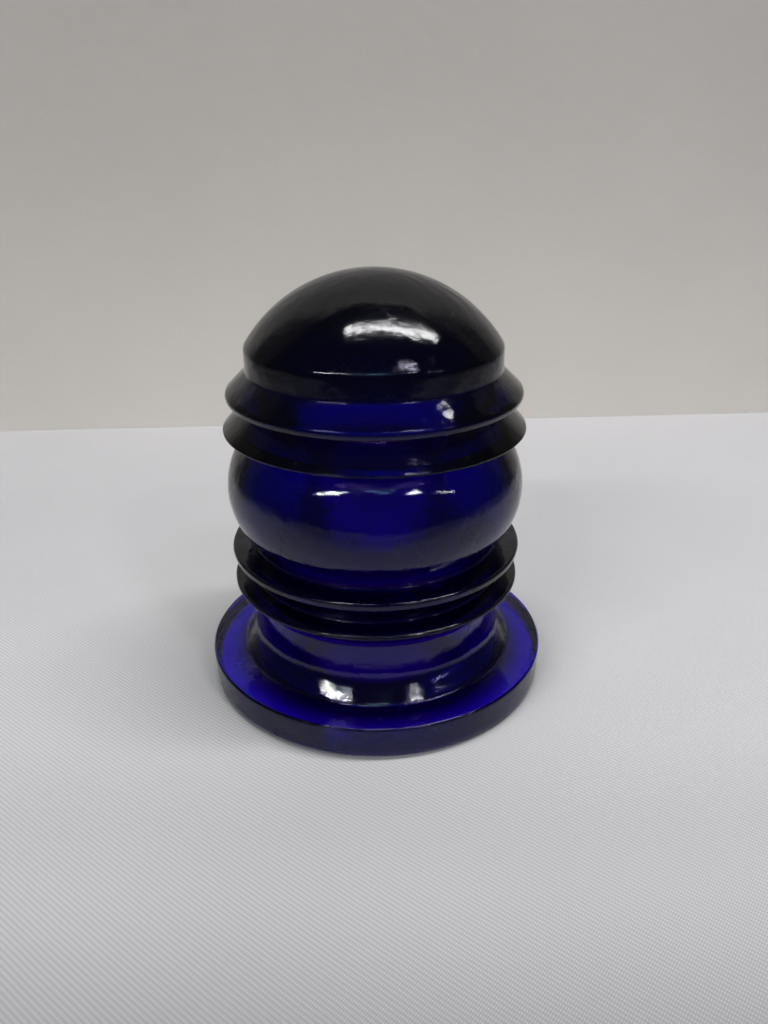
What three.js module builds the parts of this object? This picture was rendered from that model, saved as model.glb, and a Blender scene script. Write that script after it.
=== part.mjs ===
// Drum-lens globe: one hollow pressing of cobalt glass, open at the bottom.
// From the bottom up it has a round flange, a sloped skirt, a straight neck, two prism rings, a belt
// lens, two more prism rings, a plain band and a domed top. Inside it is a smooth, tapered hollow.
// Units are millimetres, +Z is up, and the origin is at the centre of the flange's underside.

import * as THREE from 'three';

// ---- driving dimensions -----------------------------------------------------------------

const TURN_STEPS = 80;                 // facets round the axis
const ROUND_STEP = THREE.MathUtils.degToRad(50);   // turn of one facet on a small rounded corner
const LENS_STEP = THREE.MathUtils.degToRad(11);    // turn of one facet on the belt and the domes

const FLANGE_RADIUS = 57.5;
const FLANGE_THICKNESS = 11.1;
const FLANGE_DRAFT = 0.3;              // how much smaller the flange's foot is than its top
const FLANGE_TOP_ROUND = 0.9;
const FLANGE_FOOT_ROUND = 2.4;

const TUBE_RADIUS = 40.2;              // the plain tube that the rings, belt and band stand on
const SKIRT_RADIUS = 46.3;             // where the sloped skirt under the neck meets the flange's top
const SKIRT_ROUND = 2;
const NECK_RADIUS = 41.0;
const NECK_FOOT = 17.5;                // where the neck meets its skirt
const NECK_FOOT_ROUND = 6.5;
const NECK_TOP = 30.5;                 // where the neck flares into the lowest ring
const NECK_TOP_ROUND = 2.5;

const BELT_HEIGHT = 68.8;              // middle of the belt lens
const BELT_RADIUS = 48.2;
const BELT_CURVE = 24.3;               // radius of the belt's convex curve

// Prism rings, each with its crest where the riser meets the outer edge. A riser is the nearly
// level face on the belt's side of a ring. The long sloped face is on the other side.
const EDGE_ROUND = 0.5;
const CREST_ROUND = 0.9;
const ROOT_ROUND = 0.8;
const RISER_DRAFT = 0.7;               // how much a riser falls from its root to its crest
const RINGS = {
  lowest: { riser: 37.5, crest: 48.2, edge: 1.2, round: EDGE_ROUND },
  lower: { riser: 48.7, crest: 48.2, edge: 2.2, round: EDGE_ROUND },
  upper: { riser: 88.0, crest: 48.4, edge: 0.6, round: EDGE_ROUND },
  top: { riser: 98.2, crest: 47.0, edge: 2.0, round: 1.8 },
};

const BAND_FOOT = 106.8;               // where the top ring's slope meets the plain band
const HEIGHT = 136.3;                  // underside of the flange to the top of the dome
const DOME_CURVE = 47.6;               // radius of the dome's spherical cap
const DOME_ROUND = 3;                  // rounding between the band and the dome

const MOUTH_RADIUS = 34.0;             // the hollow at the flange's underside
const MOUTH_ROUND = 1.2;
const HOLLOW_RADIUS = 28.0;            // the hollow where its own dome starts
const HOLLOW_TOP = 111.0;
const HOLLOW_CURVE = 30.0;             // radius of the hollow's dome
const HOLLOW_ROUND = 12;               // rounding between the hollow's wall and its dome

const GLASS = { color: 0x0b0668, roughness: 0.06, metalness: 0, transparent: true, opacity: 0.85 };

// ---- outline helpers --------------------------------------------------------------------

const corner = (r, z, round = 0) => ({ r, z, round });

// Points of an arc about (r, z), from one angle to another, measured up from the outward direction.
function arc(r, z, radius, from, to, step) {
  const count = Math.max(1, Math.ceil(Math.abs(to - from) / step));
  return Array.from({ length: count + 1 }, (_, i) => {
    const angle = from + (to - from) * i / count;
    return corner(r + radius * Math.cos(angle), z + radius * Math.sin(angle));
  });
}

// Turns a list of corners into outline points, with an arc at each corner that has a rounding.
function roundCorners(corners) {
  return corners.flatMap((here, i) => {
    if (!here.round) return [new THREE.Vector2(here.r, here.z)];
    const at = new THREE.Vector2(here.r, here.z);
    const back = new THREE.Vector2(corners[i - 1].r, corners[i - 1].z).sub(at).normalize();
    const ahead = new THREE.Vector2(corners[i + 1].r, corners[i + 1].z).sub(at).normalize();
    const halfAngle = Math.acos(THREE.MathUtils.clamp(back.dot(ahead), -1, 1)) / 2;
    const middle = back.clone().add(ahead).normalize();
    const centre = at.clone().addScaledVector(middle, here.round / Math.sin(halfAngle));
    const tangent = here.round / Math.tan(halfAngle);
    const start = at.clone().addScaledVector(back, tangent).sub(centre);
    const end = at.clone().addScaledVector(ahead, tangent).sub(centre);
    const sweep = Math.atan2(start.cross(end), start.dot(end));
    const count = Math.max(1, Math.ceil(Math.abs(sweep) / ROUND_STEP));
    return Array.from({ length: count + 1 }, (_, k) =>
      start.clone().rotateAround(new THREE.Vector2(), sweep * k / count).add(centre));
  });
}

// ---- outline of the glass ---------------------------------------------------------------

// The hollow, from the top of its dome down to the mouth.
function hollowOutline() {
  const centre = HOLLOW_TOP - HOLLOW_CURVE;
  const rim = Math.acos(HOLLOW_RADIUS / HOLLOW_CURVE);
  const blend = HOLLOW_ROUND / 2 / HOLLOW_CURVE;
  const dome = arc(0, centre, HOLLOW_CURVE, Math.PI / 2, rim + blend, LENS_STEP);
  dome[0].r = 0;
  return [
    ...dome,
    corner(HOLLOW_RADIUS, centre + HOLLOW_CURVE * Math.sin(rim), HOLLOW_ROUND),
    corner(MOUTH_RADIUS, 0, MOUTH_ROUND),
  ];
}

function flangeOutline() {
  return [
    corner(FLANGE_RADIUS - FLANGE_DRAFT, 0, FLANGE_FOOT_ROUND),
    corner(FLANGE_RADIUS, FLANGE_THICKNESS, FLANGE_TOP_ROUND),
    corner(SKIRT_RADIUS, FLANGE_THICKNESS, SKIRT_ROUND),
    corner(NECK_RADIUS, NECK_FOOT, NECK_FOOT_ROUND),
    corner(NECK_RADIUS, NECK_TOP, NECK_TOP_ROUND),
  ];
}

// A ring under the belt: sloped face below, riser on top.
function lowerRing({ riser, crest, edge, round }) {
  return [
    corner(crest - RISER_DRAFT / 2, riser - edge, round),
    corner(crest, riser, CREST_ROUND),
    corner(TUBE_RADIUS, riser + RISER_DRAFT, ROOT_ROUND),
  ];
}

// A ring over the belt: riser underneath, sloped face on top.
function upperRing({ riser, crest, edge, round }) {
  return [
    corner(TUBE_RADIUS, riser - RISER_DRAFT, ROOT_ROUND),
    corner(crest - RISER_DRAFT, riser, EDGE_ROUND),
    corner(crest, riser + edge, round),
  ];
}

function beltOutline() {
  const centre = BELT_RADIUS - BELT_CURVE;
  const end = Math.acos((TUBE_RADIUS - centre) / BELT_CURVE);
  return arc(centre, BELT_HEIGHT, BELT_CURVE, -end, end, LENS_STEP);
}

// The band and the dome, up to the top of the dome.
function domeOutline() {
  const domeCentre = HEIGHT - DOME_CURVE;
  const rim = Math.acos(TUBE_RADIUS / DOME_CURVE);
  const blend = DOME_ROUND / DOME_CURVE;
  const dome = arc(0, domeCentre, DOME_CURVE, rim + blend, Math.PI / 2, LENS_STEP);
  dome.at(-1).r = 0;
  return [
    corner(TUBE_RADIUS, BAND_FOOT, ROOT_ROUND),
    corner(TUBE_RADIUS, domeCentre + DOME_CURVE * Math.sin(rim), DOME_ROUND),
    ...dome,
  ];
}

function glassOutline() {
  return roundCorners([
    ...hollowOutline(),
    ...flangeOutline(),
    ...lowerRing(RINGS.lowest),
    ...lowerRing(RINGS.lower),
    ...beltOutline(),
    ...upperRing(RINGS.upper),
    ...upperRing(RINGS.top),
    ...domeOutline(),
  ]);
}

// ---- assembly ---------------------------------------------------------------------------

function glassGlobe() {
  const geometry = new THREE.LatheGeometry(glassOutline(), TURN_STEPS);
  geometry.rotateX(Math.PI / 2);
  const mesh = new THREE.Mesh(geometry, new THREE.MeshStandardMaterial(GLASS));
  mesh.name = 'glass_globe';
  return mesh;
}

const globe = new THREE.Group();
globe.name = 'drum_lens_globe';
globe.add(glassGlobe());

export default globe;
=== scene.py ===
"""A cobalt blue drum-lens globe standing on a pale cloth, in front of a pale backdrop.

The globe is one hollow glass pressing. The CAD solid gives its box and its place, and the piece
made here repeats the same outline, finer and with the small waves and grain of pressed glass.
Lengths are in metres, +Z is up, and the camera looks along +Y and down.
"""

import math

import bpy
import numpy as np
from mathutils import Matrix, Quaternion, Vector


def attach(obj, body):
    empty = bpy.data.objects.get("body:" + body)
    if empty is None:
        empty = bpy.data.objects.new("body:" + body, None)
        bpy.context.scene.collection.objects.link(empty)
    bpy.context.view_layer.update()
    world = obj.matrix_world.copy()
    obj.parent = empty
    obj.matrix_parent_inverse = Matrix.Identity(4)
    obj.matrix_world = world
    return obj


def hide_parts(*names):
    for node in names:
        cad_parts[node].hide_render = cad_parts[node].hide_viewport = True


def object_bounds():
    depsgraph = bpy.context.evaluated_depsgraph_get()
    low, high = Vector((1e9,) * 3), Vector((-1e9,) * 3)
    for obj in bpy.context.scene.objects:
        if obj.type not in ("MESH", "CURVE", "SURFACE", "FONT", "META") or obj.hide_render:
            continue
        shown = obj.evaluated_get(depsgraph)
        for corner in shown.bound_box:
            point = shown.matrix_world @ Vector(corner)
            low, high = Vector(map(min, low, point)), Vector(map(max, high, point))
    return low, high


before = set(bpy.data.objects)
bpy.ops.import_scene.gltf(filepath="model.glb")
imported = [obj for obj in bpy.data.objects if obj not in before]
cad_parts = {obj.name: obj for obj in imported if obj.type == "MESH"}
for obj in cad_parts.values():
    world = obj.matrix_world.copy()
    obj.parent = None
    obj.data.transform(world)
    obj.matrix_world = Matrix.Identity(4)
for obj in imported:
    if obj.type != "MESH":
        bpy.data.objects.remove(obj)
CAD_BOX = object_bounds()

MM = 0.001

# ---- outline of the glass, with the same driving dimensions as the CAD part ----
# A corner of the outline is (radius, height, rounding).

HEIGHT = CAD_BOX[1].z
TURN_STEPS = 384                     # faces round the axis
OUTLINE_STEP = 0.8 * MM              # longest face along the outline
ROUND_STEP = math.radians(15)        # largest turn of one face on a rounded corner

FLANGE_RADIUS = 57.5 * MM
FLANGE_THICKNESS = 11.1 * MM
FLANGE_DRAFT = 0.3 * MM              # how much smaller the flange's foot is than its top
FLANGE_TOP_ROUND = 0.9 * MM
FLANGE_FOOT_ROUND = 2.4 * MM

TUBE_RADIUS = 40.2 * MM              # the plain tube that the rings, belt and band stand on
SKIRT_RADIUS = 46.3 * MM             # where the sloped skirt under the neck meets the flange's top
SKIRT_ROUND = 2 * MM
NECK_RADIUS = 41.0 * MM
NECK_FOOT = 17.5 * MM
NECK_FOOT_ROUND = 6.5 * MM
NECK_TOP = 30.5 * MM
NECK_TOP_ROUND = 2.5 * MM

BELT_HEIGHT = 68.8 * MM
BELT_RADIUS = 48.2 * MM
BELT_CURVE = 24.3 * MM

EDGE_ROUND = 0.5 * MM
CREST_ROUND = 0.9 * MM
ROOT_ROUND = 0.8 * MM
RISER_DRAFT = 0.7 * MM               # how much a riser falls from its root to its crest
RINGS = {
    "lowest": dict(riser=37.5 * MM, crest=48.2 * MM, edge=1.2 * MM, edge_round=EDGE_ROUND),
    "lower": dict(riser=48.7 * MM, crest=48.2 * MM, edge=2.2 * MM, edge_round=EDGE_ROUND),
    "upper": dict(riser=88.0 * MM, crest=48.4 * MM, edge=0.6 * MM, edge_round=EDGE_ROUND),
    "top": dict(riser=98.2 * MM, crest=47.0 * MM, edge=2.0 * MM, edge_round=1.8 * MM),
}

BAND_FOOT = 106.8 * MM
DOME_CURVE = 47.6 * MM
DOME_ROUND = 3 * MM

MOUTH_RADIUS = 34.0 * MM
MOUTH_ROUND = 1.2 * MM
HOLLOW_RADIUS = 28.0 * MM
HOLLOW_TOP = 111.0 * MM
HOLLOW_CURVE = 30 * MM
HOLLOW_CORNER = 12 * MM


def arc(r, z, radius, start, end):
    """Corners along an arc about (r, z), with angles measured up from the outward direction."""
    count = max(1, math.ceil(abs(end - start) * radius / OUTLINE_STEP))
    angles = np.linspace(start, end, count + 1)
    return [(r + radius * math.cos(a), z + radius * math.sin(a), 0) for a in angles]


def hollow_outline():
    centre = HOLLOW_TOP - HOLLOW_CURVE
    rim = math.acos(HOLLOW_RADIUS / HOLLOW_CURVE)
    blend = HOLLOW_CORNER / 2 / HOLLOW_CURVE
    return [
        *arc(0, centre, HOLLOW_CURVE, math.pi / 2, rim + blend),
        (HOLLOW_RADIUS, centre + HOLLOW_CURVE * math.sin(rim), HOLLOW_CORNER),
        (MOUTH_RADIUS, 0, MOUTH_ROUND),
    ]


def flange_outline():
    return [
        (FLANGE_RADIUS - FLANGE_DRAFT, 0, FLANGE_FOOT_ROUND),
        (FLANGE_RADIUS, FLANGE_THICKNESS, FLANGE_TOP_ROUND),
        (SKIRT_RADIUS, FLANGE_THICKNESS, SKIRT_ROUND),
        (NECK_RADIUS, NECK_FOOT, NECK_FOOT_ROUND),
        (NECK_RADIUS, NECK_TOP, NECK_TOP_ROUND),
    ]


def lower_ring(riser, crest, edge, edge_round):
    """A ring under the belt: sloped face below, riser on top."""
    return [
        (crest - RISER_DRAFT / 2, riser - edge, edge_round),
        (crest, riser, CREST_ROUND),
        (TUBE_RADIUS, riser + RISER_DRAFT, ROOT_ROUND),
    ]


def upper_ring(riser, crest, edge, edge_round):
    """A ring over the belt: riser underneath, sloped face on top."""
    return [
        (TUBE_RADIUS, riser - RISER_DRAFT, ROOT_ROUND),
        (crest - RISER_DRAFT, riser, EDGE_ROUND),
        (crest, riser + edge, edge_round),
    ]


def belt_outline():
    centre = BELT_RADIUS - BELT_CURVE
    end = math.acos((TUBE_RADIUS - centre) / BELT_CURVE)
    return arc(centre, BELT_HEIGHT, BELT_CURVE, -end, end)


def dome_outline():
    """The plain band and the dome over it."""
    centre = HEIGHT - DOME_CURVE
    rim = math.acos(TUBE_RADIUS / DOME_CURVE)
    blend = DOME_ROUND / DOME_CURVE
    return [
        (TUBE_RADIUS, BAND_FOOT, ROOT_ROUND),
        (TUBE_RADIUS, centre + DOME_CURVE * math.sin(rim), DOME_ROUND),
        *arc(0, centre, DOME_CURVE, rim + blend, math.pi / 2),
    ]


def round_corner(before, here, after):
    """The arc that replaces a corner of the outline."""
    at = np.array(here[:2])
    back = np.array(before[:2]) - at
    ahead = np.array(after[:2]) - at
    back /= np.linalg.norm(back)
    ahead /= np.linalg.norm(ahead)
    half = math.acos(np.clip(back @ ahead, -1, 1)) / 2
    middle = (back + ahead) / np.linalg.norm(back + ahead)
    centre = at + middle * here[2] / math.sin(half)
    start = at + back * here[2] / math.tan(half) - centre
    end = at + ahead * here[2] / math.tan(half) - centre
    sweep = math.atan2(start[0] * end[1] - start[1] * end[0], start @ end)
    by_turn = math.ceil(abs(sweep) / ROUND_STEP)
    by_length = math.ceil(abs(sweep) * here[2] / OUTLINE_STEP)
    count = max(2, by_turn, by_length)
    turned = []
    for angle in np.linspace(0, sweep, count + 1):
        c, s = math.cos(angle), math.sin(angle)
        turned.append(centre + [c * start[0] - s * start[1], s * start[0] + c * start[1]])
    return turned


def glass_outline():
    """Points of the whole outline as an array of (radius, height), evenly filled in."""
    corners = [
        *hollow_outline(),
        *flange_outline(),
        *lower_ring(**RINGS["lowest"]),
        *lower_ring(**RINGS["lower"]),
        *belt_outline(),
        *upper_ring(**RINGS["upper"]),
        *upper_ring(**RINGS["top"]),
        *dome_outline(),
    ]
    bends = []
    for i, here in enumerate(corners):
        if here[2]:
            bends += round_corner(corners[i - 1], here, corners[i + 1])
        else:
            bends.append(np.array(here[:2]))
    points = [bends[0]]
    for a, b in zip(bends, bends[1:]):
        count = max(1, round(np.linalg.norm(b - a) / OUTLINE_STEP))
        points += [a + (b - a) * k / count for k in range(1, count + 1)]
    return np.array(points)


# ---- the glass piece ----

# Painted shade on the outer skin at each height: the shader's base colour follows it and dims the
# light that passes through the glass.
# It is darker on the two lowest rings, the upper ring, the risers and the dome, where the photo shows
# little light.
PAINTED_SHADE = [
    (31.0 * MM, 1.0), (33.0 * MM, 0.05), (44.5 * MM, 0.05), (48.0 * MM, 0.12), (50.5 * MM, 0.2),
    (56.0 * MM, 0.6), (62.0 * MM, 1.0), (86.0 * MM, 1.0), (87.2 * MM, 0.04), (88.2 * MM, 0.04),
    (88.8 * MM, 0.12), (96.8 * MM, 0.12), (97.4 * MM, 0.04), (98.4 * MM, 0.04), (99.0 * MM, 0.8),
    (106.5 * MM, 0.8), (107.5 * MM, 0.22), (HEIGHT, 0.25),
]
DOME_SATIN = [(117 * MM, 0), (124 * MM, 0.28)]   # how satin the outer skin is at each height

# Shallow waves in the glass's surface. Each one winds round the globe and along the outline.
WAVES = 26
WAVE_HEIGHT = 0.012 * MM
WAVE_TURNS = 2, 30            # waves in one turn round the globe
WAVE_LENGTHS_MM = 8, 40       # from crest to crest along the outline
WAVE_FADE = 12 * MM           # the waves fade out this near to the axis

REFRACTIVE_INDEX = 1.52
COBALT = 0.46, 0.0, 0.87, 1
COBALT_DENSITY = 300
OUTER_ROUGHNESS = 0, 0.07
INNER_ROUGHNESS = 0.15, 0.45
SCUFF_ROUGHNESS = 0.25


def outline_normals(points):
    """Outward normals of the outline in the (radius, height) plane."""
    along = np.gradient(points, axis=0)
    along /= np.linalg.norm(along, axis=1)[:, None]
    return np.stack([along[:, 1], -along[:, 0]], axis=1)


def pressing_waves(points, angles, seed):
    """Waves of the mould's and the plunger's skin, as a height for each outline point and angle."""
    rng = np.random.default_rng(seed)
    steps = np.linalg.norm(np.diff(points, axis=0), axis=1)
    along = np.concatenate([[0], np.cumsum(steps)])
    height = np.zeros((len(points), len(angles)))
    for _ in range(WAVES):
        turns = rng.integers(*WAVE_TURNS)
        length = rng.uniform(*WAVE_LENGTHS_MM) * MM
        phase = rng.uniform(0, 2 * math.pi)
        slant = rng.choice([-1, 1])
        round_axis = turns * angles[None]
        height += np.cos(round_axis + slant * 2 * math.pi * along[:, None] / length + phase)
    fade = np.clip(points[:, 0] / WAVE_FADE, 0, 1) ** 2
    return height * fade[:, None] * WAVE_HEIGHT / math.sqrt(WAVES / 2)


def mark(mesh, name, values):
    """Stores one number per outline point on every vertex turned from that point."""
    ring = np.repeat(values[1:-1], TURN_STEPS)
    marks = mesh.attributes.new(name, "FLOAT", "POINT")
    marks.data.foreach_set("value", np.concatenate([values[:1], ring, values[-1:]]))


def inner_skin(points):
    """True on the hollow and the foot, which the plunger and the grinding left satin."""
    foot_edge = int(np.argmax(points[:, 0] > FLANGE_RADIUS - FLANGE_DRAFT - FLANGE_FOOT_ROUND))
    return np.arange(len(points)) < foot_edge


def satin(points):
    """1 on the inner skin, and a little on the dome, whose skin is grainy."""
    outer = np.interp(points[:, 1], *zip(*DOME_SATIN))
    return np.where(inner_skin(points), 1.0, outer)


def painted_shade(points):
    """1 on the inner skin, and the table's painted shade on the outer skin."""
    outer = np.interp(points[:, 1], *zip(*PAINTED_SHADE))
    return np.where(inner_skin(points), 1.0, outer)


def revolve(name, points, offsets):
    """A closed mesh turned from an outline that starts and ends on the Z axis."""
    angles = np.linspace(0, 2 * math.pi, TURN_STEPS, endpoint=False)
    normals = outline_normals(points)
    body = points[1:-1]
    radius = body[:, :1] + normals[1:-1, :1] * offsets[1:-1]
    height = body[:, 1:] + normals[1:-1, 1:] * offsets[1:-1]
    height = np.clip(height, 0, HEIGHT)
    grid = np.stack([radius * np.cos(angles), radius * np.sin(angles), height], axis=-1)
    verts = [(0, 0, points[0][1]), *map(tuple, grid.reshape(-1, 3)), (0, 0, points[-1][1])]
    rows = len(body)

    def at(row, turn):
        return 1 + row * TURN_STEPS + turn % TURN_STEPS

    faces = []
    for turn in range(TURN_STEPS):
        faces.append((0, at(0, turn + 1), at(0, turn)))
        for row in range(rows - 1):
            low = at(row, turn), at(row, turn + 1)
            high = at(row + 1, turn + 1), at(row + 1, turn)
            faces.append(low + high)
        faces.append((at(rows - 1, turn), at(rows - 1, turn + 1), len(verts) - 1))
    mesh = bpy.data.meshes.new(name)
    mesh.from_pydata(verts, [], faces)
    mesh.polygons.foreach_set("use_smooth", [True] * len(mesh.polygons))
    mesh.update()
    piece = bpy.data.objects.new(name, mesh)
    bpy.context.scene.collection.objects.link(piece)
    return piece


# ---- shader nodes, shared by the glass and the stage ----


def noise_texture(nodes, links, place, scale, detail, roughness=0.5):
    noise = nodes.new("ShaderNodeTexNoise")
    noise.inputs["Scale"].default_value = scale
    noise.inputs["Detail"].default_value = detail
    noise.inputs["Roughness"].default_value = roughness
    links.new(place, noise.inputs["Vector"])
    return noise.outputs["Fac"]


def map_range(nodes, links, value, before=(0, 1), after=(0, 1), curve="LINEAR"):
    """Moves a value from one range to another, and holds it inside the second one."""
    span = nodes.new("ShaderNodeMapRange")
    span.interpolation_type = curve
    span.inputs["From Min"].default_value, span.inputs["From Max"].default_value = before
    span.inputs["To Min"].default_value, span.inputs["To Max"].default_value = after
    links.new(value, span.inputs["Value"])
    return span.outputs["Result"]


def bump(nodes, links, height, distance, strength, under=None):
    """A normal from a height, laid over another bump's normal if one is given."""
    node = nodes.new("ShaderNodeBump")
    node.inputs["Strength"].default_value = strength
    node.inputs["Distance"].default_value = distance
    links.new(height, node.inputs["Height"])
    if under is not None:
        links.new(under, node.inputs["Normal"])
    return node.outputs["Normal"]


def attribute(nodes, name):
    node = nodes.new("ShaderNodeAttribute")
    node.attribute_name = name
    return node.outputs["Fac"]


def math_node(nodes, links, operation, *values):
    """A math node. Each value is a number or the output of another node."""
    node = nodes.new("ShaderNodeMath")
    node.operation = operation
    for socket, value in zip(node.inputs, values):
        if isinstance(value, (int, float)):
            socket.default_value = value
        else:
            links.new(value, socket)
    return node.outputs["Value"]


def product(nodes, links, first, *factors):
    for factor in factors:
        first = math_node(nodes, links, "MULTIPLY", first, factor)
    return first


def glass_roughness(nodes, links, place):
    """Nearly polished outside with patches and scuffs, satin where the mesh is marked so."""
    patches = noise_texture(nodes, links, place, scale=60, detail=4)
    polished = map_range(nodes, links, patches, after=OUTER_ROUGHNESS)
    specks = noise_texture(nodes, links, place, scale=130, detail=8, roughness=0.75)
    scuffs = map_range(nodes, links, specks, before=(0.56, 0.70), after=(0, SCUFF_ROUGHNESS))
    mix = nodes.new("ShaderNodeMix")
    links.new(attribute(nodes, "satin"), mix.inputs["Factor"])
    links.new(math_node(nodes, links, "ADD", polished, scuffs), mix.inputs["A"])
    links.new(map_range(nodes, links, patches, after=INNER_ROUGHNESS), mix.inputs["B"])
    return mix.outputs["Result"]


def glass_ripples(nodes, links, place):
    """The normal of a skin with broad ripples and a fine grain over them."""
    ripples = noise_texture(nodes, links, place, scale=170, detail=2)
    grain = noise_texture(nodes, links, place, scale=1800, detail=2)
    rippled = bump(nodes, links, ripples, distance=0.5 * MM, strength=0.35)
    return bump(nodes, links, grain, distance=0.05 * MM, strength=0.4, under=rippled)


def cobalt_glass():
    material = bpy.data.materials.new("cobalt_glass")
    material.use_nodes = True
    nodes, links = material.node_tree.nodes, material.node_tree.links
    shader = nodes["Principled BSDF"]
    shader.inputs["Transmission Weight"].default_value = 1
    shader.inputs["IOR"].default_value = REFRACTIVE_INDEX
    place = nodes.new("ShaderNodeTexCoord").outputs["Object"]
    # Painted shade: the base colour darkens the glass on the rings, risers and dome, by height.
    links.new(attribute(nodes, "painted_shade"), shader.inputs["Base Color"])
    links.new(glass_roughness(nodes, links, place), shader.inputs["Roughness"])
    links.new(glass_ripples(nodes, links, place), shader.inputs["Normal"])
    absorb = nodes.new("ShaderNodeVolumeAbsorption")
    absorb.inputs["Color"].default_value = COBALT
    absorb.inputs["Density"].default_value = COBALT_DENSITY
    links.new(absorb.outputs["Volume"], nodes["Material Output"].inputs["Volume"])
    return material


def glass_globe():
    points = glass_outline()
    angles = np.linspace(0, 2 * math.pi, TURN_STEPS, endpoint=False)
    globe = revolve("globe_glass", points, pressing_waves(points, angles, seed=7))
    mark(globe.data, "satin", satin(points))
    # Painted shade by height, kept on the mesh for the glass's base colour.
    mark(globe.data, "painted_shade", painted_shade(points))
    globe.data.materials.append(cobalt_glass())
    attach(globe, "root")
    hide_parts("glass_globe")


# ---- stage: cloth-covered table and backdrop ----

BACKDROP = 263 * MM                      # how far the backdrop is behind the globe's axis
BACKDROP_TURN = math.radians(3.2)
TABLE_FRONT = -330 * MM
TABLE_TOP = -0.3 * MM
STAGE_SIDE = 1.0                         # how far the sheets reach left and right of the axis
BACKDROP_TOP = 0.9

WEAVE = 0.63 * MM, 1.17 * MM             # pitch of the warp and the weft
WEAVE_TURN = math.radians(38)
WEAVE_DEPTH = 0.08 * MM
CLOTH_COLOUR = 0.68, 0.672, 0.685
WALL_COLOUR = 0.86, 0.82, 0.77

# Blue light under the globe: (distance from the axis as a fraction of the flange's radius, level).
GLOW = (
    (0, 0.10), (0.32, 0.10), (0.45, 0.01), (0.66, 0.01), (0.76, 0.03),
    (0.83, 0.14), (0.90, 0.36), (0.95, 0.43), (0.968, 0),
)
GLOW_RED, GLOW_GREEN = 0.16, 0.03        # as fractions of the blue


def new_cloth(name):
    """A matte material, with its nodes, links, shader and the place in the stage's own coordinates."""
    material = bpy.data.materials.new(name)
    material.use_nodes = True
    nodes, links = material.node_tree.nodes, material.node_tree.links
    shader = nodes["Principled BSDF"]
    shader.inputs["Roughness"].default_value = 0.9
    shader.inputs["Specular IOR Level"].default_value = 0.2
    place = nodes.new("ShaderNodeTexCoord").outputs["Object"]
    return material, nodes, links, shader, place


def fall_off(nodes, links, distance, near, far, far_level):
    """A factor that goes smoothly from 1 to far_level as a distance goes from near to far."""
    return map_range(nodes, links, distance, (near, far), (1, far_level), "SMOOTHSTEP")


def soft_noise(nodes, links, place, scale, low, high):
    noise = noise_texture(nodes, links, place, scale, detail=3)
    return map_range(nodes, links, noise, (0.3, 0.7), (low, high))


def tinted(nodes, links, level, colour):
    tint = nodes.new("ShaderNodeVectorMath")
    tint.operation = "SCALE"
    tint.inputs[0].default_value = colour
    links.new(level, tint.inputs["Scale"])
    return tint.outputs["Vector"]


def side_front_height(nodes, links, place):
    """Distance from the middle, left or right, distance in front of the middle, and height."""
    split = nodes.new("ShaderNodeSeparateXYZ")
    links.new(place, split.inputs["Vector"])
    side = math_node(nodes, links, "ABSOLUTE", split.outputs["X"])
    front = math_node(nodes, links, "MULTIPLY", split.outputs["Y"], -1)
    return side, front, split.outputs["Z"]


def thread_wave(nodes, links, place, direction, pitch):
    """Slightly uneven bands. At scale 1 the texture's bands are pi / 10 apart."""
    wave = nodes.new("ShaderNodeTexWave")
    wave.bands_direction = direction
    wave.inputs["Scale"].default_value = math.pi / 10 / pitch
    wave.inputs["Distortion"].default_value = 0.6
    wave.inputs["Detail"].default_value = 1
    wave.inputs["Detail Scale"].default_value = 0.3
    links.new(place, wave.inputs["Vector"])
    return wave.outputs["Fac"]


def linen_weave(nodes, links, place):
    """The height of the cloth's threads: 1 where a warp and a weft thread are both up."""
    turned = nodes.new("ShaderNodeVectorRotate")
    turned.rotation_type = "Z_AXIS"
    turned.inputs["Angle"].default_value = WEAVE_TURN
    links.new(place, turned.inputs["Vector"])
    warp = thread_wave(nodes, links, turned.outputs["Vector"], "X", WEAVE[0])
    weft = thread_wave(nodes, links, turned.outputs["Vector"], "Y", WEAVE[1])
    return math_node(nodes, links, "MULTIPLY", warp, weft)


def glow_under_glass(nodes, links, shader, place, front):
    """Blue light on the cloth under the globe, for the light that comes down through the glass."""
    flat = nodes.new("ShaderNodeVectorMath")
    flat.operation = "MULTIPLY"
    flat.inputs[1].default_value = (1, 1, 0)
    links.new(place, flat.inputs[0])
    reach = nodes.new("ShaderNodeVectorMath")
    reach.operation = "LENGTH"
    links.new(flat.outputs["Vector"], reach.inputs[0])
    ramp = nodes.new("ShaderNodeValToRGB")
    fraction = math_node(nodes, links, "DIVIDE", reach.outputs["Value"], FLANGE_RADIUS)
    links.new(fraction, ramp.inputs["Fac"])
    stops = ramp.color_ramp.elements
    stops[1].position = GLOW[-1][0]
    for position, _ in GLOW[1:-1]:
        stops.new(position)
    for stop, (_, blue) in zip(stops, GLOW):
        stop.color = (GLOW_RED * blue, GLOW_GREEN * blue, blue, 1)
    links.new(ramp.outputs["Color"], shader.inputs["Emission Color"])
    strength = fall_off(nodes, links, front, near=-0.03, far=0.05, far_level=1.35)
    links.new(strength, shader.inputs["Emission Strength"])


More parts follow.
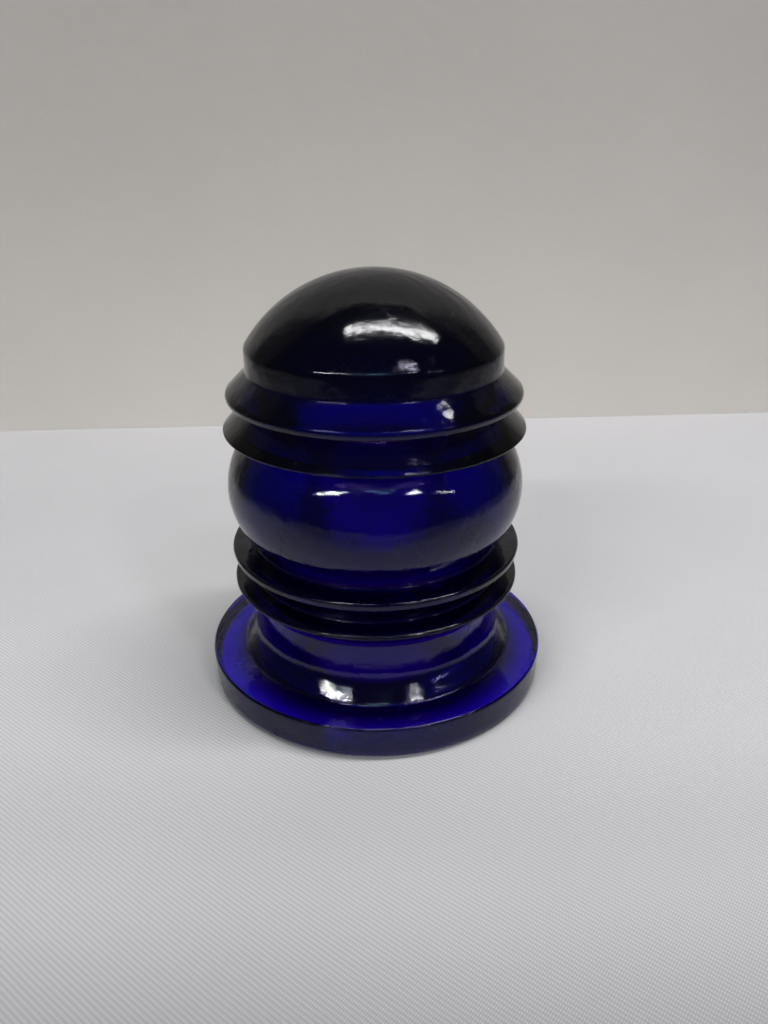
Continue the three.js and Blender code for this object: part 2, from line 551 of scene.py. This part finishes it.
def table_linen():
    """Pale woven linen, with painted shade past the sides and in front, and the blue light under the
    glass.
    """
    material, nodes, links, shader, place = new_cloth("table_cloth")
    weave = linen_weave(nodes, links, place)
    side, front, _ = side_front_height(nodes, links, place)
    level = product(
        nodes, links,
        math_node(nodes, links, "MULTIPLY_ADD", weave, 0.32, 0.90),
        # Painted shade: darker past the sides, a faint painted shadow just in front of the globe, and
        # deeper painted shade further in front.
        fall_off(nodes, links, side, near=0.26, far=0.5, far_level=0.35),
        fall_off(nodes, links, front, near=0.04, far=0.09, far_level=0.92),
        fall_off(nodes, links, front, near=0.10, far=0.19, far_level=0.5),
        soft_noise(nodes, links, place, scale=9, low=0.98, high=1.02),
    )
    links.new(tinted(nodes, links, level, CLOTH_COLOUR), shader.inputs["Base Color"])
    threads = bump(nodes, links, weave, distance=WEAVE_DEPTH, strength=0.5)
    links.new(threads, shader.inputs["Normal"])
    glow_under_glass(nodes, links, shader, place, front)
    return material


def wall_paint():
    """A warm off-white wall with faint clouds, with painted shade past the sides and higher up."""
    material, nodes, links, shader, place = new_cloth("backdrop")
    side, _, height = side_front_height(nodes, links, place)
    level = product(
        nodes, links,
        # Painted shade: the wall darkens past the sides and higher up, where less lamp light reaches
        # it.
        fall_off(nodes, links, side, near=0.25, far=0.45, far_level=0.3),
        fall_off(nodes, links, height, near=0, far=0.26, far_level=0.84),
        soft_noise(nodes, links, place, scale=5, low=0.96, high=1.03),
    )
    links.new(tinted(nodes, links, level, WALL_COLOUR), shader.inputs["Base Color"])
    plaster = soft_noise(nodes, links, place, scale=90, low=0, high=1)
    links.new(bump(nodes, links, plaster, distance=0.5 * MM, strength=0.2), shader.inputs["Normal"])
    return material


def sheet(name, corners, material):
    """A flat four-cornered piece of the stage."""
    mesh = bpy.data.meshes.new(name)
    mesh.from_pydata(corners, [], [(0, 1, 2, 3)])
    mesh.update()
    mesh.materials.append(material)
    obj = bpy.data.objects.new(name, mesh)
    bpy.context.scene.collection.objects.link(obj)


def stage():
    """The table's cloth, and behind it the backdrop, a little nearer on the left."""
    slope = math.tan(BACKDROP_TURN)
    left = BACKDROP - STAGE_SIDE * slope
    right = BACKDROP + STAGE_SIDE * slope
    table = [
        (-STAGE_SIDE, TABLE_FRONT, TABLE_TOP), (STAGE_SIDE, TABLE_FRONT, TABLE_TOP),
        (STAGE_SIDE, right, TABLE_TOP), (-STAGE_SIDE, left, TABLE_TOP),
    ]
    wall = [
        (-STAGE_SIDE, left, 0), (STAGE_SIDE, right, 0),
        (STAGE_SIDE, right, BACKDROP_TOP), (-STAGE_SIDE, left, BACKDROP_TOP),
    ]
    sheet("table_cloth", table, table_linen())
    sheet("backdrop", wall, wall_paint())


# ---- lights ----

CEILING = 1.4
ROOM_LEVEL = 0.05
BACKGROUND_LEVEL = 0.55


def lamp(name, across, ahead, width, depth, brightness, colour=(1, 1, 1), turn=0):
    """A flat lamp in the ceiling, facing down, turned by degrees clockwise as seen from above.

    Its place and size are fractions of the ceiling's height: how far right of the globe and how far
    in front of it, towards the viewer.
    """
    data = bpy.data.lights.new(name, "AREA")
    data.shape = "RECTANGLE"
    data.size = width * CEILING
    data.size_y = depth * CEILING
    data.energy = brightness * math.pi * data.size * data.size_y
    data.color = colour
    obj = bpy.data.objects.new(name, data)
    obj.location = (across * CEILING, -ahead * CEILING, CEILING)
    obj.rotation_euler.z = math.radians(-turn)
    bpy.context.scene.collection.objects.link(obj)


def lights():
    """One long lamp overhead, and a row of lamps and a panel over the viewer's head."""
    lamp("ceiling_lamp", across=0.215, ahead=0.03, width=0.99, depth=0.10, brightness=20, turn=-6)
    lamp("ceiling_panel", across=0.47, ahead=0.59, width=0.24, depth=0.15, brightness=9,
         colour=(0.85, 0.80, 1))
    lamp("row_left", across=-0.80, ahead=0.97, width=0.80, depth=0.04, brightness=85)
    lamp("row_middle", across=0.02, ahead=0.92, width=0.42, depth=0.02, brightness=26,
         colour=(0.5, 0.95, 1))
    lamp("row_right", across=0.67, ahead=0.94, width=0.16, depth=0.07, brightness=65)
    lamp("row_far_right", across=1.54, ahead=0.91, width=0.62, depth=0.08, brightness=16)


def room():
    """A dark room all round. The camera itself sees it paler, so no view has a black background."""
    world = bpy.data.worlds.new("room")
    world.use_nodes = True
    nodes, links = world.node_tree.nodes, world.node_tree.links
    seen = nodes.new("ShaderNodeLightPath").outputs["Is Camera Ray"]
    level = map_range(nodes, links, seen, after=(ROOM_LEVEL, BACKGROUND_LEVEL))
    links.new(level, nodes["Background"].inputs["Color"])
    bpy.context.scene.world = world


# ---- camera ----

LENS = 29.69                         # focal length in millimetres, on a 36 mm sensor
CAMERA_AT = Vector((1.4, -259.1, 175.2)) * MM
CAMERA_PITCH = math.radians(24.65)
CAMERA_YAW = math.radians(0.32)
CAMERA_ROLL = math.radians(-0.27)


def camera():
    data = bpy.data.cameras.new("camera")
    data.lens = LENS
    data.clip_start = 0.01
    obj = bpy.data.objects.new("camera", data)
    obj.rotation_mode = "QUATERNION"
    ahead = Vector((
        math.sin(CAMERA_YAW) * math.cos(CAMERA_PITCH),
        math.cos(CAMERA_YAW) * math.cos(CAMERA_PITCH),
        -math.sin(CAMERA_PITCH),
    ))
    obj.rotation_quaternion = Quaternion(ahead, -CAMERA_ROLL) @ ahead.to_track_quat("-Z", "Y")
    obj.location = CAMERA_AT
    bpy.context.scene.collection.objects.link(obj)
    bpy.context.scene.camera = obj


# ---- make everything ----

camera()
stage()
lights()
room()
glass_globe()

scene = bpy.context.scene
scene.view_settings.view_transform = "Standard"
scene.view_settings.gamma = 0.87
scene.view_settings.exposure = 0.12
scene.cycles.max_bounces = 32
scene.cycles.transmission_bounces = 32
scene.cycles.glossy_bounces = 16
scene.cycles.caustics_refractive = False
scene.cycles.caustics_reflective = False
